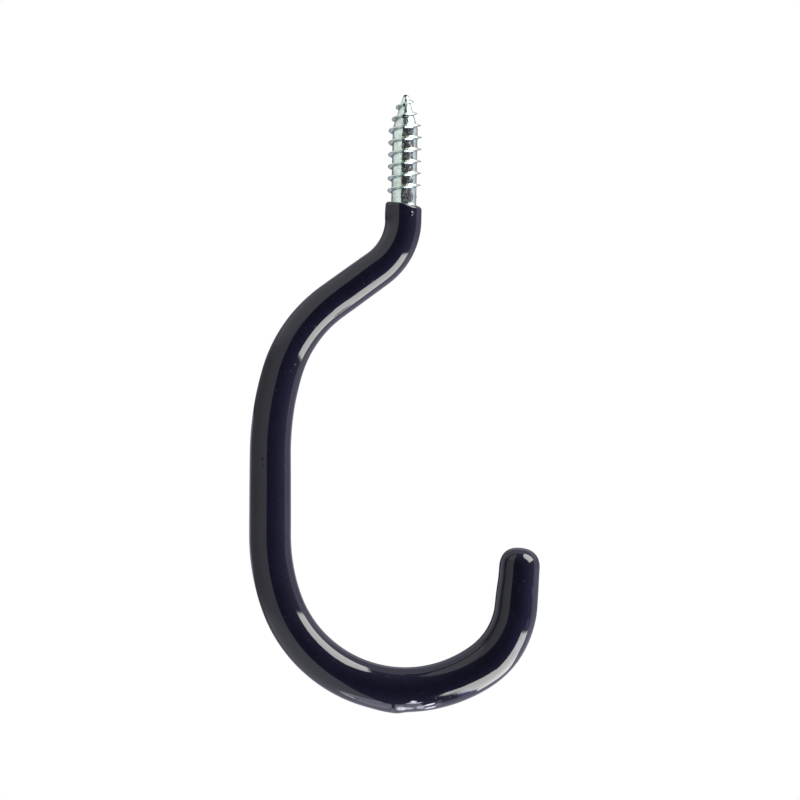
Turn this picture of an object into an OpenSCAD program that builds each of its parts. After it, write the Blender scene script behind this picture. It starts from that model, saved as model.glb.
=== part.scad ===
// Screw-in storage hook for a bicycle: one bent steel rod with a wood-screw thread on its
// upper end, dipped in soft vinyl from the neck round to the tip.
// The screw stands on the Z axis with its point up. The origin is on that axis, at the top
// edge of the vinyl, where the hook stops against the wood. The hook opens towards +X.

/* [Rod] */
// Diameter of the plain rod under the vinyl
rod_d = 6.8; // [6:0.1:9]
// Straight length of rod from the top edge of the vinyl to the first bend
neck_run = 3.8; // [2.5:0.1:10]
// Radius of the neck bend, along the middle of the rod
neck_bend_r = 14.5; // [10:0.5:30]
// Turn of the neck bend, away from the mouth
neck_bend_a = 53; // [30:1:70]
// Length of the slanting straight below the neck
slant_run = 13.3; // [5:0.1:30]
// Radius of the shoulder bend
shoulder_bend_r = 31.5; // [15:0.5:50]
// Turn of the shoulder bend, back towards the mouth
shoulder_bend_a = 38; // [20:1:50]
// Radius of the slow bend that eases the shoulder into the back
upper_back_r = 70; // [40:1:120]
// Turn of the upper part of the back
upper_back_a = 16; // [5:1:25]
// Length of the straight part of the back
back_run = 19; // [5:0.5:60]
// Radius of the slow bend that eases the back into the bowl
lower_back_r = 47; // [35:1:90]
// Turn of the lower part of the back
lower_back_a = 20; // [8:1:30]
// Radius of the bowl that carries the wheel
bowl_r = 31; // [20:0.5:45]
// Turn of the bowl
bowl_a = 107; // [90:1:120]
// Radius of the bend that turns the toe up
toe_bend_r = 19; // [12:0.5:30]
// Turn of the toe bend
toe_bend_a = 49; // [30:1:60]
// Straight length of the toe, up to the middle of its round end
toe_run = 8.5; // [4:0.1:30]

/* [Thread] */
// Length of bare screw above the vinyl, to the point
screw_l = 25.8; // [18:0.1:50]
// Length of the tapered point
point_l = 8; // [4:0.1:12]
// Diameter of the blunt end of the point
point_d = 1; // [0.6:0.1:2]
// Diameter at the thread root
thread_root_d = 5.9; // [4.6:0.1:6]
// Diameter over the thread crest
thread_crest_d = 7.8; // [7:0.1:9.5]
// Rise of the thread in one turn
thread_pitch = 2.82; // [2:0.02:4]
// Width of the thread ridge at its foot, just inside the root
thread_foot_w = 1.5; // [0.9:0.05:1.8]
// Width of the thread ridge at the crest
thread_crest_w = 0.25; // [0.15:0.05:0.6]
// Plain length between the vinyl and the first turn
thread_gap = 1.7; // [0.8:0.1:6]
// Distance below the point at which the thread dies out
thread_point_gap = 1; // [0.4:0.1:3]
// Turn over which the ridge rises out of the core at each end
thread_fade_a = 60; // [30:5:180]
// Length under the vinyl over which the root grows to the plain rod
runout_l = 1.2; // [0.5:0.1:2]

/* [Vinyl] */
// Wall of the vinyl round the neck
neck_wall = 0.9; // [0.6:0.05:2]
// Wall of the vinyl round the shoulder
shoulder_wall = 1.35; // [0.6:0.05:2.5]
// Wall of the vinyl round the bowl, where the dip runs thickest
bowl_wall = 1.8; // [0.6:0.05:3]
// Wall of the vinyl over the round end of the toe
tip_wall = 1.6; // [0.6:0.05:3]
// Rounding of the top edge of the vinyl
lip_round = 0.6; // [0.2:0.05:1]
// Height of the drip that hardened under the bowl
drip_h = 0.45; // [0.2:0.05:0.9]
// Turn of the bowl, from its start, at which the drip hangs
drip_a = 66; // [45:1:80]

/* [Hidden] */
$fn = 72;

rod_r = rod_d / 2;
root_r = thread_root_d / 2;
crest_r = thread_crest_d / 2;
point_r = point_d / 2;
neck_coat_r = rod_r + neck_wall;
shoulder_coat_r = rod_r + shoulder_wall;
bowl_coat_r = rod_r + bowl_wall;
tip_coat_r = rod_r + tip_wall;
lip_fillet = min(lip_round, neck_wall);

// The drip is a spindle along the rod, slimmer than the vinyl and set low, so that only its belly shows.
drip_r = bowl_coat_r - 0.5;
drip_belly_r = 14;
drip_sink = bowl_coat_r + drip_h - drip_r;

// Every other stretch laps over its neighbours and is a hair thicker, so that they fuse.
lap = 0.15;
lap_step = 0.02;

// The ridge is drawn in straight facets, and reaches this far into the core so that it fuses.
ridge_steps = 36;
ridge_sink = 0.3;
cone_base_z = screw_l - point_l;
ridge_rise = screw_l - thread_point_gap - thread_gap;
ridge_count = floor(ridge_rise / thread_pitch * ridge_steps);

// One row for each stretch of the bent rod, from the neck to the toe: the length of a straight
// or the radius of a bend, the turn (0 for a straight, positive away from the mouth), and the
// radius of the vinyl at its two ends.
stretches = [
    [neck_run, 0, neck_coat_r, neck_coat_r],
    [neck_bend_r, neck_bend_a, neck_coat_r, neck_coat_r],
    [slant_run, 0, neck_coat_r, shoulder_coat_r],
    [shoulder_bend_r, -shoulder_bend_a, shoulder_coat_r, shoulder_coat_r],
    [upper_back_r, -upper_back_a, shoulder_coat_r, shoulder_coat_r],
    [back_run, 0, shoulder_coat_r, bowl_coat_r],
    [lower_back_r, -lower_back_a, bowl_coat_r, bowl_coat_r],
    [bowl_r, -bowl_a, bowl_coat_r, bowl_coat_r],
    [toe_bend_r, -toe_bend_a, bowl_coat_r, bowl_coat_r],
    [toe_run, 0, bowl_coat_r, tip_coat_r],
];
last = len(stretches);
bowl = 7;

// Direction that points to the inside of a positive bend, as X and Z, when the rod has turned by a.
function inward(a) = [-cos(a), sin(a)];

// Place reached after a stretch that starts at another. A place is X, Z and the turn so far.
function after(from, stretch) =
    let (
        start = [from[0], from[1]],
        turned = from[2],
        side = sign(stretch[1]),
        end = side == 0
            ? start - stretch[0] * [sin(turned), cos(turned)]
            : start + side * stretch[0] * (inward(turned) - inward(turned + stretch[1]))
    )
    [end[0], end[1], turned + stretch[1]];

// Place where stretch i starts.
function place(i) = i == 0 ? [0, 0, 0] : after(place(i - 1), stretches[i - 1]);

// Puts its children at a place, with Z along the rod and X towards its outer side.
module at_place(here) {
    translate([here[0], 0, here[1]]) rotate([0, 180 + here[2], 0]) children();
}

// Puts its children at the start of stretch i.
module at_stretch(i) {
    at_place(place(i)) children();
}

// Carries a flat section round a bend that starts along Z, and by a lap past both of its ends.
module bend(radius, turn, over) {
    over_a = over / radius * 180 / PI;
    rotate([0, 0, turn < 0 ? 180 : 0])
        translate([radius, 0, 0])
            rotate([90, 0, 0])
                rotate([0, 0, 180 - abs(turn) - over_a])
                    rotate_extrude(angle = abs(turn) + 2 * over_a)
                        translate([radius, 0]) children();
}

// Solid bar along stretch i, of radius r0 at its start and r1 at its end.
module bar(i, r0, r1) {
    size = stretches[i][0];
    turn = stretches[i][1];
    over = lap * (i % 2);
    more = lap_step * (i % 2);
    at_stretch(i)
        if (turn == 0)
            translate([0, 0, -over]) cylinder(h = size + 2 * over, r1 = r0 + more, r2 = r1 + more);
        else
            bend(size, turn, over) circle(r0 + more);
}

// Round end after the last stretch.
module round_end(r) {
    at_stretch(last) rotate_extrude() intersection() {
        circle(r);
        square(r);
    }
}

// Core radius of the screw at height z: straight, then tapering over the point.
function core_r(z) =
    z < cone_base_z ? root_r : root_r + (point_r - root_r) * (z - cone_base_z) / point_l;

// Crest radius at ridge section i: full height over the core, dying into it at both ends.
function ridge_crest_r(i) =
    let (
        z = thread_gap + i * thread_pitch / ridge_steps,
        from_end = min(i, ridge_count - i) * 360 / ridge_steps,
        share = min(1, from_end / thread_fade_a)
    )
    core_r(z) - ridge_sink / 2 + (crest_r - root_r + ridge_sink / 2) * share;

// The four corners of ridge section i: inner low, outer low, outer high, inner high.
function ridge_section(i) =
    let (
        z = thread_gap + i * thread_pitch / ridge_steps,
        a = i * 360 / ridge_steps,
        outer = ridge_crest_r(i),
        inner = max(core_r(z) - ridge_sink, point_r / 2),
        half_out = thread_crest_w / 2,
        half_in = thread_foot_w / 2
    )
    [for (c = [[inner, -half_in], [outer, -half_out], [outer, half_out], [inner, half_in]])
        [c[0] * cos(a), c[0] * sin(a), z + c[1]]];

// Helical ridge of the right-hand thread, swept section by section.
module thread_ridge() {
    corners = [for (i = [0 : ridge_count]) each ridge_section(i)];
    sides = [
        for (i = [0 : ridge_count - 1], k = [0 : 3])
            let (a = 4 * i + k, b = 4 * i + (k + 1) % 4)
            each [[a, b, b + 4], [a, b + 4, a + 4]]
    ];
    end = 4 * ridge_count;
    caps = [[0, 2, 1], [0, 3, 2], [end, end + 1, end + 2], [end, end + 2, end + 3]];
    polyhedron(corners, concat(sides, caps));
}

// Bent rod below the screw: the runout under the lip, the bends and the round end.
module bent_rod() {
    at_stretch(0) rotate_extrude()
        polygon([[0, 0], [root_r, 0], [rod_r, runout_l], [rod_r, neck_run], [0, neck_run]]);
    for (i = [1 : last - 1]) bar(i, rod_r, rod_r);
    round_end(rod_r);
}

// One length of bar: threaded core and point above the origin, then the bends.
module steel_rod() {
    color("gainsboro") union() {
        cylinder(h = cone_base_z, r = root_r);
        translate([0, 0, cone_base_z]) cylinder(h = point_l, r1 = root_r, r2 = point_r);
        thread_ridge();
        bent_rod();
    }
}

// Outside of the vinyl along the neck, rounded at its top edge.
module lip() {
    side_r = neck_coat_r - lip_fillet;
    at_stretch(0) rotate_extrude() union() {
        square([side_r, neck_run]);
        translate([0, lip_fillet]) square([neck_coat_r, neck_run - lip_fillet]);
        translate([side_r, lip_fillet]) circle(lip_fillet);
    }
}

// Drip that ran down the vinyl and hardened under the bowl.
module drip() {
    at_place(after(place(bowl), [bowl_r, -drip_a]))
        translate([drip_sink, 0, 0])
            rotate_extrude() intersection() {
                translate([drip_r - drip_belly_r, 0]) circle(drip_belly_r);
                translate([0, -drip_belly_r]) square([drip_r, 2 * drip_belly_r]);
            }
}

// Vinyl sleeve moulded to the rod, thicker towards the bowl and closed over the toe.
module vinyl_coating() {
    color("midnightblue") difference() {
        union() {
            lip();
            for (i = [1 : last - 1]) bar(i, stretches[i][2], stretches[i][3]);
            round_end(tip_coat_r);
            drip();
        }
        bent_rod();
    }
}

steel_rod();
vinyl_coating();
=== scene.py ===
"""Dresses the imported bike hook: a zinc plated screw hook, dipped in navy vinyl, in a white studio."""
import math

import bpy
import numpy as np
from bpy.props import FloatProperty, FloatVectorProperty, PointerProperty
from bpy.types import Operator, Panel, PropertyGroup
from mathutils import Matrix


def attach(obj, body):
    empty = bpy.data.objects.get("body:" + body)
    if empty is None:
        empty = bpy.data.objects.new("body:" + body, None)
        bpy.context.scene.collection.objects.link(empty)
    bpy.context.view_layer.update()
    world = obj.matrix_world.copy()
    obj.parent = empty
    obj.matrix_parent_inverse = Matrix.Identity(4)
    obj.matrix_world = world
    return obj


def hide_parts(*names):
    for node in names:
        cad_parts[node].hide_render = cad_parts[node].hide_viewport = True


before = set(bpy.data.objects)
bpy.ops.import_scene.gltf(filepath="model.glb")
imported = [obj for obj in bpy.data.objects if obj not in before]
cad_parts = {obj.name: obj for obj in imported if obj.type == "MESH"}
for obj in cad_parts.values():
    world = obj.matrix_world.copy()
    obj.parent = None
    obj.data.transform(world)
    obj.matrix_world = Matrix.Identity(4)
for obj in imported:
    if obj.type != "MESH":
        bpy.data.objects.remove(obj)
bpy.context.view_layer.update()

bl_info = {
    "name": "Bike Hook",
    "version": (1, 0, 0),
    "blender": (4, 5, 0),
    "location": "View3D > Sidebar > Bike Hook",
    "description": "Builds a vinyl dipped screw hook for a bicycle and its white studio",
    "category": "Object",
}

MM = 0.001
SENSOR_W_MM = 36.0


# Property kinds

def length(name, mm, description):
    """A length that is written in millimetres and kept in metres."""
    return FloatProperty(name=name, description=description, default=mm * MM, precision=5,
                         subtype="DISTANCE", unit="LENGTH")


def turn(name, degrees, description):
    """An angle that is written in degrees and kept in radians."""
    return FloatProperty(name=name, description=description, default=math.radians(degrees),
                         subtype="ANGLE", unit="ROTATION")


def amount(name, value, description):
    """A plain number that is not negative."""
    return FloatProperty(name=name, description=description, default=value, min=0.0)


def colour(name, rgb, description):
    """A linear colour."""
    return FloatVectorProperty(name=name, description=description, default=rgb, size=3,
                               min=0.0, max=1.0, subtype="COLOR")


class HookBends(PropertyGroup):
    """The bends of the rod, from the top edge of the vinyl to the middle of the round toe."""
    neck_run: length("Neck run", 3.8, "Straight length from the top edge of the vinyl to the first bend")
    neck_r: length("Neck radius", 14.5, "Radius of the neck bend")
    neck_a: turn("Neck turn", 53, "Turn of the neck bend, away from the mouth")
    slant_run: length("Slant run", 13.3, "Length of the slanting straight")
    shoulder_r: length("Shoulder radius", 31.5, "Radius of the shoulder bend")
    shoulder_a: turn("Shoulder turn", 38, "Turn of the shoulder bend, towards the mouth")
    upper_back_r: length("Upper back radius", 70, "Radius of the bend that eases into the back")
    upper_back_a: turn("Upper back turn", 16, "Turn of the upper back")
    back_run: length("Back run", 19, "Length of the straight part of the back")
    lower_back_r: length("Lower back radius", 47, "Radius of the bend that eases into the bowl")
    lower_back_a: turn("Lower back turn", 20, "Turn of the lower back")
    bowl_r: length("Bowl radius", 31, "Radius of the bowl")
    bowl_a: turn("Bowl turn", 107, "Turn of the bowl")
    toe_r: length("Toe radius", 19, "Radius of the bend that turns the toe up")
    toe_a: turn("Toe turn", 49, "Turn of the toe bend")
    toe_run: length("Toe run", 8.5, "Straight length of the toe, up to the middle of its round end")


class HookRod(PropertyGroup):
    """The steel rod and its screw."""
    rod_d: length("Rod diameter", 6.8, "Diameter of the rod under the vinyl")
    screw_l: length("Screw length", 25.8, "Length of bare screw above the vinyl")
    point_l: length("Point length", 8, "Length of the tapered point")
    point_d: length("Point diameter", 1, "Diameter of the blunt end of the point")
    root_d: length("Root diameter", 5.9, "Diameter at the thread root")
    crest_d: length("Crest diameter", 7.8, "Diameter over the thread crest")
    pitch: length("Pitch", 2.82, "Rise of the thread in one turn")
    foot_w: length("Ridge foot", 0.8, "Width of the thread ridge at the root")
    crest_w: length("Ridge crest", 0.22, "Width of the thread ridge at the crest")
    gap: length("Thread gap", 1.7, "Plain length between the vinyl and the first turn")
    point_gap: length("Point gap", 1, "Distance below the point at which the thread dies out")
    fade_a: turn("Thread fade", 60, "Turn over which the ridge rises out of the core")
    runout_l: length("Runout", 1.2, "Length under the vinyl over which the root grows to the rod")


class HookVinyl(PropertyGroup):
    """The dipped vinyl: its wall from place to place, its lip and its drip."""
    neck_wall: length("Neck wall", 0.9, "Wall round the neck")
    slant_wall: length("Slant wall", 1.1, "Wall along the slant")
    shoulder_wall: length("Shoulder wall", 1.3, "Wall round the shoulder")
    back_wall: length("Back wall", 1.55, "Wall along the back")
    bowl_wall: length("Bowl wall", 1.8, "Wall round the bowl, where the dip ran thickest")
    toe_wall: length("Toe wall", 1.58, "Wall over the toe")
    lip_round: length("Lip rounding", 0.35, "Width of the top edge's rounding on the outer side")
    lip_shoulder: length("Lip shoulder", 0.7, "Width of the top edge's rounding on the mouth side")
    lip_fall: length("Lip fall", 0.9, "Length along the rod of the top edge's rounding")
    lip_sag: length("Lip sag", 0.5, "Half the height by which the top edge falls towards the mouth side")
    drip_h: length("Drip height", 0.43, "Height of the drip that hardened under the bowl")
    ripple_h: length("Ripple height", 0.008, "Height of the slow ripples that the dip left all over")


class HookFinish(PropertyGroup):
    """Colours of the two finishes."""
    zinc: colour("Zinc", (0.74, 0.865, 0.80), "Bright zinc plate")
    # Stains on the zinc; their warm tint also stands in for warm surroundings seen in the plate, a painted
    # reflection
    zinc_stain_and_warm_reflection: colour("Zinc shade", (0.58, 0.54, 0.42), "Zinc plate where it is stained")
    # Painted shade: a dark line painted into the plate under each thread ridge, where the lower flank shows
    # dark
    painted_ridge_shade: colour("Zinc foot", (0.20, 0.26, 0.33), "Zinc plate that went dark under the thread ridge")
    navy: colour("Navy", (0.0049, 0.0048, 0.0130), "Vinyl")
    navy_pale: colour("Pale navy", (0.0069, 0.0067, 0.0185), "Vinyl where the pigment is thinner")
    dust: colour("Dust", (0.075, 0.075, 0.085), "Fine dust on the vinyl")
    # Bluish tint laid on a few patches of the vinyl
    blue_tint: colour("Bloom", (0.20, 0.21, 0.55), "Bluish bloom on the vinyl")
    # Painted highlight colour: a pale blob, glints and streaks of reflected light on the drip, and a thin
    # pale line
    painted_glint_and_scuff: colour("Scuff", (0.70, 0.71, 0.79), "Vinyl where the hardened drip was scuffed pale")
    bare_tip: colour("Bare tip", (0.10, 0.065, 0.045), "Steel at the very point, where the plate is gone")


class HookStudio(PropertyGroup):
    """Camera and light."""
    distance: length("Camera distance", 420.4, "Distance from the camera to the plane of the hook")
    lens: FloatProperty(name="Lens", description="Focal length for a 36 mm sensor", default=80.1,
                        unit="CAMERA")
    roll: turn("Camera roll", 1.2, "Lean of the picture")
    aim_x: length("Aim X", 0.11, "Middle of the picture across the hook")
    aim_z: length("Aim Z", -46.3, "Middle of the picture along the hook")
    floor_drop: length("Floor drop", 800, "Height of the origin above the floor")
    wall_x: length("Wall edge X", -62, "Edge of the white wall nearest the camera, across the hook")
    wall_y: length("Wall edge Y", -121, "Edge of the white wall nearest the camera, in front of the hook")
    box_light: amount("Softbox light", 8.3, "Radiance of the two softboxes")
    wall_light: amount("Wall light", 0.7, "Radiance of the white wall on the left")


# Shapes

# Points round each skin, and rings along its main stretches
ROD_COLUMNS, SCREW_ROWS, BEND_ROWS = 108, 480, 170
VINYL_COLUMNS, VINYL_ROWS, BORE_ROWS, TOE_ROWS = 128, 600, 60, 26


def along_bends(bends, s):
    """Middle line of the rod at lengths s below the top edge of the vinyl: X, Z and the turn so far.

    The turn grows evenly along each stretch, so the way from the start of a stretch is a chord of
    length ds sin(h) / h in the direction of the mean turn, with h half the turn made on the way.
    Above the first stretch and past the last one the line goes on straight.
    """
    b = bends
    sizes = np.array([b.neck_run, b.neck_r, b.slant_run, b.shoulder_r, b.upper_back_r,
                      b.back_run, b.lower_back_r, b.bowl_r, b.toe_r, b.toe_run])
    turns = np.array([0, b.neck_a, 0, -b.shoulder_a, -b.upper_back_a,
                      0, -b.lower_back_a, -b.bowl_a, -b.toe_a, 0])
    lengths = np.where(turns == 0, sizes, sizes * np.abs(turns))

    def chord(ds, dt, start):
        mean = start + dt / 2
        return (ds * np.sinc(dt / math.tau))[..., None] * np.stack([-np.sin(mean), -np.cos(mean)], -1)

    s_at = np.concatenate([[0], np.cumsum(lengths)])
    t_at = np.concatenate([[0], np.cumsum(turns)])
    p_at = np.concatenate([[[0, 0]], np.cumsum(chord(lengths, turns, t_at[:-1]), axis=0)])
    k = np.clip(np.searchsorted(s_at, s, side="right") - 1, 0, len(s_at) - 1)
    t = np.interp(s, s_at, t_at)
    p = p_at[k] + chord(s - s_at[k], t - t_at[k], t_at[k])
    return p[..., 0], p[..., 1], t, s_at[-1]


def carry(bends, s, r, a):
    """Rings of radius r carried along the bends: middle(s) + r (cos a outward + sin a Y).

    Outward lies in the plane of the hook, square to the rod: left on the back, down under the bowl.
    """
    x, z, t, _ = along_bends(bends, s)
    out = r * np.cos(a)
    return np.stack([x - out * np.cos(t), r * np.sin(a) + 0 * x, z + out * np.sin(t)], -1)


def skin(name, rings, start, end, marks):
    """Closed smooth mesh: quads between neighbouring rings, and a fan to one point at each end.

    rings is (rings, columns, 3), the marks are named (rings, columns) values kept on the points.
    """
    n, m = rings.shape[:2]
    row, j = np.arange(n - 1)[:, None] * m, np.arange(m)
    k = (j + 1) % m
    quads = np.stack([row + j, row + k, row + m + k, row + m + j], -1).reshape(-1, 4)
    head = np.stack([np.full(m, n * m), k, j], -1)
    tail = np.stack([(n - 1) * m + j, (n - 1) * m + k, np.full(m, n * m + 1)], -1)
    points = np.concatenate([rings.reshape(-1, 3), [start, end]])
    mesh = bpy.data.meshes.new(name)
    mesh.from_pydata(points.tolist(), [], quads.tolist() + head.tolist() + tail.tolist())
    mesh.polygons.foreach_set("use_smooth", np.ones(len(mesh.polygons), dtype=bool))
    for key, values in marks.items():
        mark = mesh.attributes.new(key, "FLOAT", "POINT")
        values = np.concatenate([values.ravel(), values[[0, -1], 0]])
        mark.data.foreach_set("value", values.astype(np.float32))
    if mesh.validate():
        raise RuntimeError(f"{name} has faces that can't be used")
    mesh.update()
    piece = bpy.data.objects.new(name, mesh)
    bpy.context.collection.objects.link(piece)
    return piece


def ease(x):
    """Smooth step from 0 to 1: 3 x^2 - 2 x^3, held outside."""
    x = np.clip(x, 0, 1)
    return x * x * (3 - 2 * x)


def from_ridge(rod, z, a):
    """Height above the nearest turn of the right-hand ridge, and the share of its full size there.

    The middle of the ridge is at gap + pitch (k + turn) for a whole number k. It dies out at both ends.
    """
    turned = ((math.pi - a) / math.tau) % 1
    rise = (z - rod.gap) / rod.pitch - turned
    k = np.round(rise)
    along = k + turned
    whole = (rod.screw_l - rod.point_gap - rod.gap) / rod.pitch
    share = np.clip(np.minimum(along, whole - along) * math.tau / rod.fade_a, 0, 1)
    return (rise - k) * rod.pitch, share


def screw_radius(rod, z, a):
    """Radius of the screw at height z and ring angle a.

    The core is straight and then tapers to the point. The ridge stands over it at full height inside
    the crest width, and comes down to nothing at the foot width, partly straight and partly eased.
    """
    root, point = rod.root_d / 2, rod.point_d / 2
    taper = np.clip((z - rod.screw_l + rod.point_l) / rod.point_l, 0, 1)
    core = root + (point - root) * taper
    above, share = from_ridge(rod, z, a)
    flank = np.clip((rod.foot_w / 2 - np.abs(above)) / (rod.foot_w / 2 - rod.crest_w / 2), 0, 1)
    return core + (rod.crest_d / 2 - root) * share * (0.6 * flank + 0.4 * ease(flank))


def make_rod(bends, rod):
    """Whole bent rod as rings along one line: blunt point, screw, runout, bends and round end.

    A mark keeps the line of painted shade under the ridge, darkened into the plate's colour: with the height
    above the ridge, it is share exp(-((height + drop) / width)^2).
    """
    a = np.linspace(0, math.tau, ROD_COLUMNS, endpoint=False)
    end = along_bends(bends, 0.0)[3]
    r = rod.rod_d / 2
    blunt = 0.2 * MM
    b = np.linspace(math.pi / 2, 0, 7)[1:-1]
    s_cap = -(rod.screw_l - blunt + blunt * np.sin(b))
    s_screw = np.linspace(-(rod.screw_l - blunt), 0, SCREW_ROWS)
    s_bent = np.linspace(rod.runout_l, end, BEND_ROWS)
    d = np.linspace(0, math.pi / 2, 9)[1:-1]
    s_dome = end + r * np.sin(d)
    s = np.concatenate([s_cap, s_screw, s_bent, s_dome])[:, None]
    rings = [np.outer(rod.point_d / 2 * np.cos(b), np.ones_like(a)),
             screw_radius(rod, -s_screw[:, None], a),
             np.full((len(s_bent), len(a)), r),
             np.outer(r * np.cos(d), np.ones_like(a))]
    x, z, _, _ = along_bends(bends, end + r)
    points = carry(bends, s, np.concatenate(rings), a)
    # Painted shade under the ridge: the line on the screw where the plate's colour is darkened
    above, share = from_ridge(rod, -s_screw[:, None], a)
    drop, width = 0.42 * MM, 0.11 * MM
    dark = np.zeros(points.shape[:2])
    dark[len(b):len(b) + len(s_screw)] = share * np.exp(-((above + drop) / width) ** 2)
    return skin("zinc_screw_rod", points, (0, 0, rod.screw_l), (x, 0, z), {"painted_shade_under_ridge": dark})


# Mean outer radius of the vinyl in millimetres, which turns an angle round it into an arc
TUBE_R_MM = 5.2

# Lumps that the dip left on the outside: place along the rod, angle round it from the outer side
# with the camera side negative, reach along, reach round, and height as a share of the drip
DIP_LUMPS = np.array([
    [2.3, -117, 0.5, 0.5, 0.6],
    [2.6, 0, 1.6, 3.5, 0.2],
    [140.6, -4, 2.5, 2.6, 0.6],
    [141.7, -40, 0.5, 0.8, 0.6],
    [142.7, -8, 1.4, 2.2, 0.55],
    [146.1, -65, 1.6, 0.32, 0.2],
    [149.5, -51, 1.5, 0.3, 0.2],
    [149.5, -37, 1.5, 0.3, 0.2],
    [148, 0, 26, 5.5, 0.18],
    [166, 0, 8, 6, 0.62],
    [182, 0, 6, 5, 0.16],
    [188, 180, 4, 4.5, -0.75],
])


def vinyl_radius(rod, vinyl, s, a, end):
    """Radius of the vinyl: a wall that eases from place to place, slow ripples, and the dip's lumps.

    The wall goes straight from station to station, and is then the mean of nine places nearby. A lump
    is height exp(-(ds / reach)^2 - (arc / reach)^2), and the ripples are a sum of three sines.
    """
    v = vinyl
    trim = 0.02 * MM
    stations = np.array([
        (0, v.neck_wall - trim),
        (10, v.neck_wall),
        (22, v.slant_wall - trim),
        (34, v.slant_wall),
        (48, v.shoulder_wall - trim),
        (62, v.shoulder_wall + 5 * trim),
        (82, v.back_wall),
        (104, v.back_wall),
        (122, v.bowl_wall - 6.5 * trim),
        (136, v.bowl_wall),
        (158, v.bowl_wall),
        (172, v.toe_wall + 5 * trim),
        (181, v.toe_wall),
        (189, v.toe_wall - 3 * trim),
    ])
    places, walls = stations[:, 0] / stations[-1, 0] * end, stations[:, 1]
    near = np.linspace(-1, 1, 9) * 0.03 * end
    wall = np.mean([np.interp(s + d, places, walls) for d in near], axis=0)
    ripple = (np.sin(s / (1.9 * MM) + 2 * a) + np.sin(s / (1.17 * MM) - a + 1.0)
              + np.sin(s / (3.1 * MM) + 3 * a + 2.0)) / 3
    r = rod.rod_d / 2 + wall + v.ripple_h * ripple * ease((s - 2 * MM) / (6 * MM))
    s0, a0, reach_s, reach_a, height = (DIP_LUMPS[:, k] for k in range(5))
    ds = (s[..., None] / MM - s0) / reach_s
    arc = (a[..., None] - np.radians(a0) + math.pi) % math.tau - math.pi
    lumps = (height * np.exp(-ds ** 2 - (arc * TUBE_R_MM / reach_a) ** 2)).sum(-1)
    return r + v.drip_h * lumps


def crowded(end, count):
    """Places from 0 to the end that crowd together at the lip and at the drip.

    Each place has a weight, and the places are taken at even steps of the sum of the weights.
    """
    s = np.linspace(0, end, 4000)
    lip = np.exp(-(s / (4 * MM)) ** 4)
    drip = np.exp(-((s - 0.755 * end) / (11 * MM)) ** 4)
    weight = 1 + 1.8 * lip + 1.8 * drip
    total = np.cumsum(weight) - weight[0]
    return np.interp(np.linspace(0, total[-1], count), total, s)


def make_vinyl(bends, rod, vinyl):
    """Sleeve as one closed skin: the bore from the toe up, the lip, the outside down and the round toe.

    The columns crowd together on the lower front: a = u - crowd sin(u - middle). The lip is a quarter of an
    oval that widens from the outer side to the mouth side, and its edge stands at lip_sag (cos a - 0.4)
    with small waves, which fade out over the first few millimetres below it. The toe's end is a little
    flatter than a ball: its cos and sin are taken to a power below 1.
    """
    crowd, middle = 0.62, math.radians(-40)
    flatter = 0.82
    fade_l = 6 * MM
    fit = 0.02 * MM
    u = np.linspace(0, math.tau, VINYL_COLUMNS, endpoint=False)
    a = u - crowd * np.sin(u - middle)
    end = along_bends(bends, 0.0)[3]
    core, bore, root = rod.rod_d / 2, rod.rod_d / 2 + fit, rod.root_d / 2
    side, tip = core + vinyl.neck_wall, core + vinyl.toe_wall
    lip = vinyl.lip_round + (vinyl.lip_shoulder - vinyl.lip_round) * (1 - np.cos(a)) / 2

    d = np.linspace(math.pi / 2, 0, 8)[1:, None]
    s_bore = np.concatenate([end + bore * np.sin(d[:, 0]), np.linspace(end, rod.runout_l, BORE_ROWS)[1:],
                             np.array([0.8, 0.5, 0.2]) * MM])[:, None] + 0 * a
    c = np.linspace(0, math.pi / 2, 9)[1:, None]
    flat = np.linspace(0, 1, 3)[:, None]
    s_lip = np.concatenate([0 * flat * a, vinyl.lip_fall * (1 - np.cos(c)) + 0 * a])
    r_lip = np.concatenate([(root + 0.1 * MM) * (1 - flat) + (side - lip) * flat,
                            side - lip * (1 - np.sin(c))])
    s_out = vinyl.lip_fall + (1 - vinyl.lip_fall / end) * crowded(end, VINYL_ROWS)[1:, None] + 0 * a
    e = np.linspace(0, math.pi / 2, TOE_ROWS)[1:-1, None]
    s_dome = end + tip * np.sin(e) ** flatter + 0 * a

    rows_s = np.concatenate([s_bore, s_lip, s_out, s_dome])
    rows_a = a + 0 * rows_s
    waves = 0.05 * MM * np.sin(3 * a + 1) + 0.04 * MM * np.sin(5 * a)
    fall = waves + vinyl.lip_sag * (0.4 - np.cos(a))
    s = rows_s + fall * (1 - ease(rows_s / fade_l))
    r_bore = root + (core - root) * np.clip(s[:len(s_bore)] / rod.runout_l, 0, 1) + fit
    r_bore[:len(d)] = bore * np.cos(d)
    r_out = vinyl_radius(rod, vinyl, s_out, a + 0 * s_out, end)
    r = np.concatenate([r_bore, r_lip, r_out, r_out[-1] * np.cos(e) ** flatter])
    x, z, _, _ = along_bends(bends, np.array([end + bore, end + tip]))
    points = carry(bends, s, r, rows_a)
    marks = {"along": rows_s / MM, "round": np.degrees((rows_a + math.pi) % math.tau - math.pi)}
    return skin("vinyl_dip", points, (x[0], 0, z[0]), (x[1], 0, z[1]), marks)


# Finishes

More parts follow.
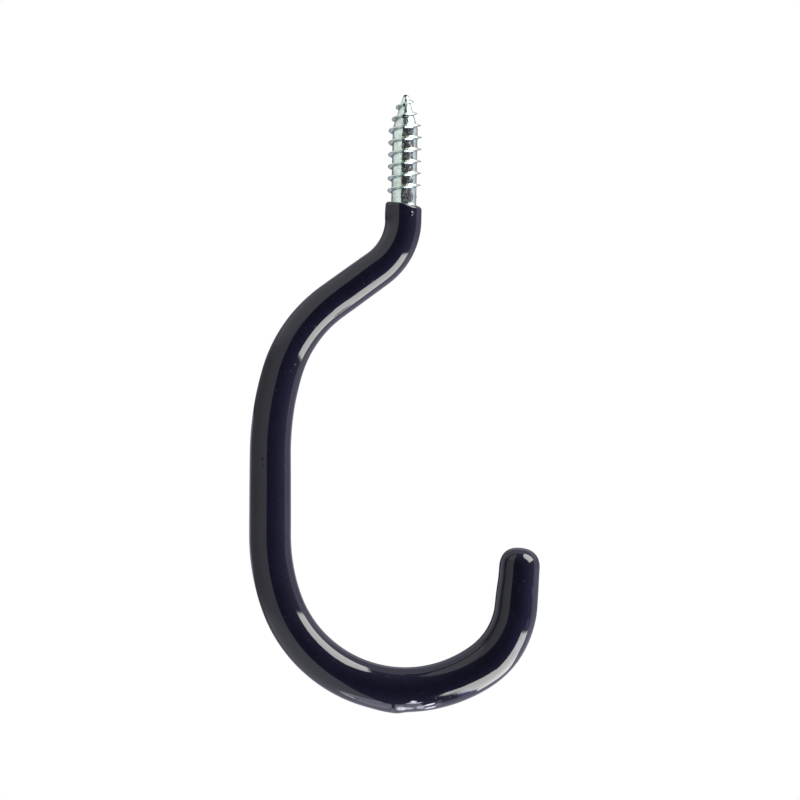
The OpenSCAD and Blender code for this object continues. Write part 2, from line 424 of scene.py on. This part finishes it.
class Wire:
    """One output of a node: expressions on wires and numbers add the Math nodes that work them out."""

    def __init__(self, tree, socket=None):
        self.tree, self.socket = tree, socket

    def node(self, kind, settings=None, sockets=None, out=0):
        """Adds a node of that kind, sets it up, then fills or links its sockets, and gives an output."""
        made = self.tree.nodes.new(kind)
        for key, value in (settings or {}).items():
            setattr(made, key, value)
        for key, value in (sockets or {}).items():
            if isinstance(value, Wire):
                self.tree.links.new(value.socket, made.inputs[key])
            else:
                made.inputs[key].default_value = value
        return Wire(self.tree, made.outputs[out]) if len(made.outputs) else made

    def sister(self, out):
        """Another output of the same node."""
        return Wire(self.tree, self.socket.node.outputs[out])

    def maths(self, operation, *values):
        """One Math node on wires and numbers."""
        return self.node("ShaderNodeMath", {"operation": operation}, dict(enumerate(values)))

    def __add__(self, other):
        return self.maths("ADD", self, other)

    def __radd__(self, other):
        return self.maths("ADD", other, self)

    def __sub__(self, other):
        return self.maths("SUBTRACT", self, other)

    def __rsub__(self, other):
        return self.maths("SUBTRACT", other, self)

    def __mul__(self, other):
        return self.maths("MULTIPLY", self, other)

    def __rmul__(self, other):
        return self.maths("MULTIPLY", other, self)

    def __truediv__(self, other):
        return self.maths("DIVIDE", self, other)

    def __rtruediv__(self, other):
        return self.maths("DIVIDE", other, self)

    def __abs__(self):
        return self.maths("ABSOLUTE", self)


def step(value, low, high):
    """Smooth step from 0 where the value is low to 1 where it is high."""
    return value.node("ShaderNodeMapRange", {"interpolation_type": "SMOOTHSTEP"},
                      {0: value, 1: low, 2: high})


def blend(share, first, second):
    """Colour that goes from the first to the second as the share goes from 0 to 1."""
    return share.node("ShaderNodeMix", {"data_type": "RGBA"}, {0: share, 6: first, 7: second}, 2)


def noise(place, scale, detail=3.0, rough=0.5):
    """Noise from 0 to 1 with features of about 1 / scale metres."""
    return place.node("ShaderNodeTexNoise", {}, {
        "Vector": place, "Scale": scale, "Detail": detail, "Roughness": rough})


def bumped(relief):
    """Normal of a surface with that relief, in metres."""
    return relief.node("ShaderNodeBump", {}, {"Strength": 1.0, "Distance": 1.0, "Height": relief}, "Normal")


def rgba(rgb):
    """A colour that hides what is behind it."""
    return (*rgb, 1.0)


def new_finish(name):
    """A bare material and the wire that starts its nodes."""
    finish = bpy.data.materials.new(name)
    finish.use_nodes = True
    finish.node_tree.nodes.clear()
    return finish, Wire(finish.node_tree)


def zinc_plate(finish):
    """Bright zinc: mint tones, stains with a painted warm reflection, painted shade under the ridge, a bare
    tip and a fine grain.
    """
    made, w = new_finish("zinc_plate")
    place = w.node("ShaderNodeTexCoord", out="Object")
    cloud = noise(place, 420.0)
    dents = noise(place, 1500.0, 2.0)
    foot = w.node("ShaderNodeAttribute", {"attribute_name": "painted_shade_under_ridge"}, out="Fac")
    high = w.node("ShaderNodeSeparateXYZ", {}, {0: place}, "Z")
    patch = step(noise(place, 1100.0, 2.0), 0.45, 0.62)
    # Mint zinc with patches of stain, whose warm tint is partly a painted reflection
    tone = blend(0.3 * patch + 0.6 * step(cloud, 0.5, 0.75), rgba(finish.zinc), rgba(finish.zinc_stain_and_warm_reflection))
    # Painted shade: the plate's colour is darkened in a line just under each ridge
    tone = blend(foot * 0.85, tone, rgba(finish.painted_ridge_shade))
    tone = blend(step(high + cloud * (0.6 * MM), 25.2 * MM, 25.7 * MM), tone, rgba(finish.bare_tip))
    shader = w.node("ShaderNodeBsdfPrincipled", {}, {
        "Base Color": tone, "Metallic": 1.0, "Roughness": 0.05 + 0.3 * patch,
        "Normal": bumped(cloud * (0.024 * MM) + dents * (0.06 * MM))})
    w.node("ShaderNodeOutputMaterial", {}, {"Surface": shader})
    return made


# Marks on the vinyl: strength, place along the rod in millimetres, angle round it as for the lumps,
# reach along and round in millimetres, and the slant at which the mark runs round
PITS = (
    (1.0, 71.9, -77, 0.65, 0.6, 0.0),
    (1.0, 73.5, -77.2, 0.6, 0.5, 0.0),
)
# Painted highlights on the drip: the pale blob, glint, its wings, two streaks and a smear; the last row is a
# thin pale line
PAINTED_GLINTS_AND_SCUFFS = (
    (0.42, 143.4, -41.5, 1.2, 1.0, 0.0),
    (0.3, 144.9, -42, 1.5, 0.6, 0.0),
    (0.95, 146.1, -66, 0.9, 0.3, 0.0),
    (0.4, 146.3, -61.5, 2.2, 0.22, 0.0),
    (0.9, 149.5, -51, 1.5, 0.28, -0.15),
    (0.85, 149.5, -37, 1.5, 0.3, -0.1),
    (0.3, 147.5, -44, 1.1, 0.8, 0.0),
    (0.2, 132.3, -48, 2.9, 0.16, 0.07),
)
# Bluish patches: near the toe's rim, at the end of and in the gap in the lower highlight, and two crossed
# thin lines
BLUE_TINTS = (
    (0.06, 184.2, -48, 1.6, 0.4, 0.0),
    (0.06, 177.1, -53, 1.6, 0.4, 0.0),
    (0.2, 172.4, -57, 1.5, 0.5, 0.0),
    (0.08, 157.8, -54, 2.6, 1.2, 0.0),
    (0.05, 139.6, -131, 0.9, 0.14, 0.5),
    (0.05, 139.6, -131, 0.9, 0.14, -0.5),
)


def navy_vinyl(finish):
    """Glossy dipped vinyl: two close navy tones, dull smudges, sparse dust, pits, painted glints on the drip,
    and bluish patches.
    """
    made, w = new_finish("navy_vinyl")
    place = w.node("ShaderNodeTexCoord", out="Object")
    along = w.node("ShaderNodeAttribute", {"attribute_name": "along"}, out="Fac")
    around = w.node("ShaderNodeAttribute", {"attribute_name": "round"}, out="Fac")

    cloud = noise(place, 110.0)
    peel = noise(place, 330.0)
    mottle = noise(place, 900.0, 2.0)
    smudge = step(noise(place, 170.0, 4.0, 0.65), 0.62, 0.72)
    cell = w.node("ShaderNodeTexVoronoi", {}, {"Vector": place, "Scale": 900.0}, "Distance")
    pick = w.node("ShaderNodeSeparateColor", {}, {0: cell.sister("Color")}, "Red")
    dust = (1 - step(cell, 0.06, 0.2)) * step(pick, 0.88, 0.9)

    def mark(strength, s, angle, reach_s, reach_round, slant):
        """The strength in the middle of an oval on the tube, and 0 at its edge."""
        ds = along - s
        da = (around - angle) * (math.radians(1) * TUBE_R_MM) - ds * slant
        du, dv = ds / reach_s, da / reach_round
        return strength * (1 - step(du * du + dv * dv, 0.15, 1.0))

    pits = sum(mark(*row) for row in PITS)
    # Painted highlights: where the drip's glints and streaks are painted pale
    painted_glints_and_scuffs = sum(mark(*row) for row in PAINTED_GLINTS_AND_SCUFFS) * (0.35 + 1.2 * noise(place, 2600.0, 2.0))
    blue_tint = sum(mark(*row) for row in BLUE_TINTS)

    tone = blend(step(cloud * 0.5 + mottle * 0.5, 0.35, 0.65), rgba(finish.navy), rgba(finish.navy_pale))
    tone = blend(dust * 0.25, tone, rgba(finish.dust))
    # Bluish tint on a few patches of the vinyl
    tone = blend(blue_tint, tone, rgba(finish.blue_tint))
    # Painted highlights: glints and streaks on the drip painted into the colour, which also makes them
    # rougher
    tone = blend(painted_glints_and_scuffs, tone, rgba(finish.painted_glint_and_scuff))
    relief = (cloud * (0.012 * MM) + peel * (0.014 * MM) + mottle * (0.001 * MM) - pits * (0.11 * MM)
              + dust * (0.004 * MM))
    shader = w.node("ShaderNodeBsdfPrincipled", {}, {
        "Base Color": tone, "IOR": 1.54, "Normal": bumped(relief),
        "Roughness": 0.045 + 0.03 * mottle + 0.1 * smudge + 0.3 * dust + 0.2 * painted_glints_and_scuffs})
    w.node("ShaderNodeOutputMaterial", {}, {"Surface": shader})
    return made


# Studio

BOX_TINT = (1.0, 1.01, 0.95)
BACK_TINT = (0.97, 0.97, 1.15)
FRONT_TINT = (0.85, 0.85, 1.3)
WARM_TINT = (0.97, 0.85, 0.82)


def dot(way, axis):
    """How far a direction points along an axis."""
    return way.node("ShaderNodeVectorMath", {"operation": "DOT_PRODUCT"}, {0: way, 1: tuple(axis)}, "Value")


def tinted(share, rgb):
    """A colour times an amount of light."""
    return share.node("ShaderNodeVectorMath", {"operation": "SCALE"}, {0: rgb, "Scale": share})


def both(first, second):
    """Sum of two lights."""
    return first.node("ShaderNodeVectorMath", {"operation": "ADD"}, {0: first, 1: second})


def glow(light, rgb):
    """Colour of a card with that much light."""
    return rgba(light * part for part in rgb)


def softbox(way, tilt, lean, tip, half_out, high, low, narrow=0.0, cut=0.0, skew=0.0, corner=9.0):
    """1 inside a far rectangle, seen along a direction, with soft edges.

    Its middle lies at the tilt from the camera's line and at the lean in the picture, in degrees, and the
    box is tipped about its middle. A direction is put on the box's plane by dividing by its part along
    the middle: u runs away from the camera and v round it, from -low, cut at a slope, to high.
    The edge nearest the camera draws in above v = 0.2 by narrow, and below v = 0.1 it is skewed towards
    the camera. The low corner there is cut off along a line that meets -low at u = -corner.
    """
    soft, corner_slope = 0.03, 0.47
    tilt, lean, tip = np.radians([tilt, lean, tip])

    def inside(depth):
        return step(depth, -soft, soft)

    middle = np.array([math.sin(tilt) * math.cos(lean), -math.cos(tilt), math.sin(tilt) * math.sin(lean)])
    out = np.array([math.cos(tilt) * math.cos(lean), math.sin(tilt), math.cos(tilt) * math.sin(lean)])
    round_way = np.array([-math.sin(lean), 0, math.cos(lean)])
    facing = dot(way, middle)
    u = dot(way, out * math.cos(tip) + round_way * math.sin(tip)) / facing
    v = dot(way, round_way * math.cos(tip) - out * math.sin(tip)) / facing
    near = (u + half_out - skew * u.maths("MINIMUM", v - 0.1, 0.0)
            - narrow * u.maths("MAXIMUM", v - 0.2, 0.0))
    return (step(facing, 0.05, 0.2) * inside(half_out - u) * inside(near) * inside(high - v)
            * inside(v + low - cut * u) * inside(v + low + corner_slope * (u + corner)))


def paint_studio(studio):
    """White room for the camera, and for the object a studio by direction.

    In front it is dark and slowly lightens away from the camera, with a warm band a little above the
    level. Two softboxes stand on the right, above and below, and a dark slot crosses the lower one.
    The light behind fades towards the middle, most of all on the left and least in two lifted bands.
    """
    world = bpy.data.worlds.new("studio")
    bpy.context.scene.world = world
    world.use_nodes = True
    world.node_tree.nodes.clear()
    w = Wire(world.node_tree)
    way = w.node("ShaderNodeTexCoord", out="Generated")
    x = w.node("ShaderNodeSeparateXYZ", {}, {0: way}, "X")
    y, z = x.sister("Y"), x.sister("Z")
    left = w.maths("MAXIMUM", x * -1.0, 0.0) / w.maths("SQRT", 1.0001 - y * y)

    ahead = 0.04 + 0.28 * (1 + w.maths("MINIMUM", y, 0.0))
    lift = step(z, 0.2, 0.4) * (1 - step(z, 0.57, 0.72)) + step(z, 0.0, -0.4)
    fade = 1 - w.maths("MAXIMUM", y, 0.0) * (0.85 - 0.4 * lift * (1 - left))
    behind = (0.95 + 0.1 * lift - (0.72 - 0.4 * step(z, 0.07, 0.11)) * left * left * left) * fade
    back = step(y, -0.02, 0.12)
    slot_across = dot(way, (0.925, 0.0, 0.381)) + 0.1
    slot = (1 - step(abs(slot_across), 0.045, 0.1)) * step(y, -0.72, -0.5) * (1 - step(y, -0.05, 0.08))
    upper = softbox(way, tilt=79, lean=48, tip=0, half_out=0.345, high=0.44, low=0.44, narrow=0.9)
    lower = softbox(way, tilt=78.2, lean=-51, tip=9, half_out=0.39, high=0.52, low=0.265,
                    cut=0.03, skew=2.2, corner=0.8)
    boxes = upper + lower * (1 - 0.92 * slot)

    warm = step(z, 0.11, 0.16) * (1 - step(z, 0.3, 0.45))
    light = tinted(ahead * (1 - back) * (1 - warm), FRONT_TINT)
    light = both(light, tinted(ahead * (1 - back) * warm, WARM_TINT))
    light = both(light, tinted(behind * back, BACK_TINT))
    light = both(light, tinted(studio.box_light * boxes, BOX_TINT))
    seen = w.node("ShaderNodeLightPath", out="Is Camera Ray")
    lit = w.node("ShaderNodeBackground", {}, {"Color": light, "Strength": 1.0})
    white = w.node("ShaderNodeBackground", {}, {"Color": (1, 1, 1, 1), "Strength": 1.0})
    mixed = w.node("ShaderNodeMixShader", {}, {0: seen, 1: lit, 2: white})
    w.node("ShaderNodeOutputWorld", {}, {"Surface": mixed})


def make_card(name, points, light):
    """Glowing sheet on a grid of points. Only the object sees it, so it hides nothing from another side.

    The light is a function of the material's first wire, and gives the colour of the glow.
    """
    n, m = points.shape[:2]
    at = np.arange(n - 1)[:, None] * m + np.arange(m - 1)
    mesh = bpy.data.meshes.new(name)
    mesh.from_pydata(points.reshape(-1, 3).tolist(), [],
                     np.stack([at, at + m, at + m + 1, at + 1], -1).reshape(-1, 4).tolist())
    made, w = new_finish(name)
    shine = w.node("ShaderNodeEmission", {}, {"Color": light(w), "Strength": 1.0})
    w.node("ShaderNodeOutputMaterial", {}, {"Surface": shine})
    card = bpy.data.objects.new(name, mesh)
    card.data.materials.append(made)
    card.visible_camera = False
    bpy.context.collection.objects.link(card)
    return card


def make_wall(studio):
    """White wall on the left: an upright arc round the screw's line, from near the camera to behind.

    Below the hook its edge stands nearer the camera. The light falls off behind the hook, most of all
    at the height of the back, and the foot of the wall is brighter.
    """
    far_end, nearer = math.radians(118), math.radians(8.3)
    reach = math.hypot(studio.wall_x, studio.wall_y)
    share, h = np.meshgrid(np.linspace(0, 1, 60), np.linspace(-0.5, 0.4, 40))
    start = math.atan2(-studio.wall_x, -studio.wall_y) - nearer * ease((-0.12 - h) / 0.06)
    a = start + (far_end - start) * share

    def light(w):
        place = w.node("ShaderNodeTexCoord", out="Object")
        y = w.node("ShaderNodeSeparateXYZ", {}, {0: place}, "Y")
        z = y.sister("Z")
        off = step(abs(z + 0.065), 0.06, 0.1)
        fall = 1 - (0.45 - 0.35 * off) * step(y, -0.1, 0.03)
        fall = fall * (1 - (0.6 - 0.5 * off) * step(y, 0.02, 0.08))
        foot = step(z, -0.36, -0.44)
        plain = tinted(studio.wall_light * fall * (1 + 0.35 * off), (1.0, 1.02, 1.03))
        return both(plain, tinted(studio.wall_light * fall * foot * 2.6, (0.98, 0.97, 1.13)))

    return make_card("white_wall", np.stack([-reach * np.sin(a), -reach * np.cos(a), h], -1), light)


def make_low_card(studio):
    """Bright card below the right of the bowl: an arc round the bowl's middle, beside it and behind.

    It widens over its first degrees and narrows to nothing towards the toe.
    """
    first, last, change = np.radians([-62, -32, 15])
    bowl_x, bowl_z, reach = 2 * MM, -83.6 * MM, 96 * MM
    a, share = np.meshgrid(np.linspace(first, last, 30), np.linspace(0, 1, 4))
    width = 14 * MM + 9 * MM * ease((a - first - math.radians(2)) / change)
    y = 3 * MM + share * width * ease((last - a) / change)
    points = np.stack([bowl_x + reach * np.cos(a), y, bowl_z + reach * np.sin(a)], -1)
    return make_card("low_card", points, lambda w: glow(studio.box_light, BOX_TINT))


def make_under_card(studio):
    """Lilac card below the bowl, which lights the bottom of the drip."""
    drop = 0.3
    x, y = np.meshgrid(np.linspace(-0.06, 0.057, 4), np.linspace(-0.06, 0.05, 4))
    return make_card("under_card", np.stack([x, y, 0 * x - drop], -1),
                     lambda w: glow(studio.wall_light, (2.8, 2.75, 3.3)))


def make_back_card(studio):
    """Pale card behind the back of the hook, which only the toe sees."""
    behind = 0.03
    x, z = np.meshgrid(np.linspace(-0.077, 0.0, 4), np.linspace(-0.098, -0.048, 4))
    return make_card("back_card", np.stack([x, behind + 0 * x, z], -1),
                     lambda w: glow(studio.wall_light, (0.82, 0.82, 0.98)))


def make_floor(studio):
    """Round pale floor below the hook: a ring grid of radius times (cos a, sin a), white to the camera."""
    middle_x, middle_y = -0.07, 0.04
    a = np.linspace(0, math.tau, 64, endpoint=False)
    r = np.array([0.1, 0.24])[:, None]
    rings = np.stack([r * np.cos(a) + middle_x, r * np.sin(a) + middle_y, 0 * r * a - studio.floor_drop], -1)
    n = len(a)
    j, k = np.arange(n), (np.arange(n) + 1) % n
    mesh = bpy.data.meshes.new("pale_floor")
    mesh.from_pydata(rings.reshape(-1, 3).tolist(), [],
                     np.stack([j, n + j, n + k, k], -1).tolist() + [list(range(n))])
    made, w = new_finish("pale_floor")
    path = w.node("ShaderNodeLightPath", out="Is Camera Ray")
    place = w.node("ShaderNodeTexCoord", out="Object")
    paper = w.node("ShaderNodeBsdfDiffuse", {}, {
        "Color": blend(noise(place, 30.0), (0.78, 0.78, 0.78, 1), (0.82, 0.82, 0.82, 1))})
    white = w.node("ShaderNodeEmission", {}, {"Color": (1, 1, 1, 1), "Strength": 1.0})
    shader = w.node("ShaderNodeMixShader", {}, {0: path, 1: paper, 2: white})
    w.node("ShaderNodeOutputMaterial", {}, {"Surface": shader})
    floor = bpy.data.objects.new("pale_floor", mesh)
    floor.data.materials.append(made)
    bpy.context.collection.objects.link(floor)
    return floor


class BIKEHOOK_OT_zinc_screw_rod(Operator):
    """Builds the zinc plated rod with its screw, in place of the plain one"""
    bl_idname = "bikehook.zinc_screw_rod"
    bl_label = "Zinc Screw Rod"

    def execute(self, context):
        scene = context.scene
        piece = make_rod(scene.hook_bends, scene.hook_rod)
        piece.data.materials.append(zinc_plate(scene.hook_finish))
        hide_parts("steel_rod")
        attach(piece, "root")
        return {"FINISHED"}


class BIKEHOOK_OT_vinyl_dip(Operator):
    """Builds the dipped vinyl with its lip and drip, in place of the plain sleeve"""
    bl_idname = "bikehook.vinyl_dip"
    bl_label = "Vinyl Dip"

    def execute(self, context):
        scene = context.scene
        piece = make_vinyl(scene.hook_bends, scene.hook_rod, scene.hook_vinyl)
        piece.data.materials.append(navy_vinyl(scene.hook_finish))
        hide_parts("vinyl_coating")
        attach(piece, "root")
        return {"FINISHED"}


class BIKEHOOK_OT_white_studio(Operator):
    """Sets up the camera, the studio light and the pale floor"""
    bl_idname = "bikehook.white_studio"
    bl_label = "White Studio"

    def execute(self, context):
        scene, studio = context.scene, context.scene.hook_studio
        lens = bpy.data.cameras.new("hook_camera")
        lens.lens, lens.sensor_width, lens.sensor_fit = studio.lens, SENSOR_W_MM, "AUTO"
        lens.clip_start, lens.clip_end = 0.01, 10.0
        camera = bpy.data.objects.new("hook_camera", lens)
        camera.location = (studio.aim_x, -studio.distance, studio.aim_z)
        camera.rotation_euler = (math.pi / 2, -studio.roll, 0)
        context.collection.objects.link(camera)
        scene.camera = camera
        scene.view_settings.view_transform = "Standard"
        paint_studio(studio)
        make_floor(studio)
        make_wall(studio)
        make_low_card(studio)
        make_under_card(studio)
        make_back_card(studio)
        return {"FINISHED"}


class BIKEHOOK_PT_sidebar(Panel):
    """Lists the pieces of the hook and what can be changed on them"""
    bl_idname = "BIKEHOOK_PT_sidebar"
    bl_label = "Bike Hook"
    bl_space_type = "VIEW_3D"
    bl_region_type = "UI"
    bl_category = "Bike Hook"

    def draw(self, context):
        scene = context.scene
        for operator in OPERATORS:
            self.layout.operator(operator.bl_idname)
        for key in GROUPS:
            box = self.layout.box()
            for name in getattr(scene, key).__annotations__:
                box.prop(getattr(scene, key), name)


GROUPS = {"hook_bends": HookBends, "hook_rod": HookRod, "hook_vinyl": HookVinyl,
          "hook_finish": HookFinish, "hook_studio": HookStudio}
OPERATORS = (BIKEHOOK_OT_zinc_screw_rod, BIKEHOOK_OT_vinyl_dip, BIKEHOOK_OT_white_studio)


def register():
    """Adds the groups of sizes to the scene, and the operators and the panel."""
    for key, group in GROUPS.items():
        bpy.utils.register_class(group)
        setattr(bpy.types.Scene, key, PointerProperty(type=group))
    for kind in (*OPERATORS, BIKEHOOK_PT_sidebar):
        bpy.utils.register_class(kind)


def unregister():
    """Takes them out again, last one first."""
    for kind in (BIKEHOOK_PT_sidebar, *reversed(OPERATORS)):
        bpy.utils.unregister_class(kind)
    for key, group in reversed(GROUPS.items()):
        delattr(bpy.types.Scene, key)
        bpy.utils.unregister_class(group)


def main():
    """Builds the pieces and the studio."""
    register()
    bpy.ops.bikehook.zinc_screw_rod()
    bpy.ops.bikehook.vinyl_dip()
    bpy.ops.bikehook.white_studio()


if __name__ == "__main__":
    main()
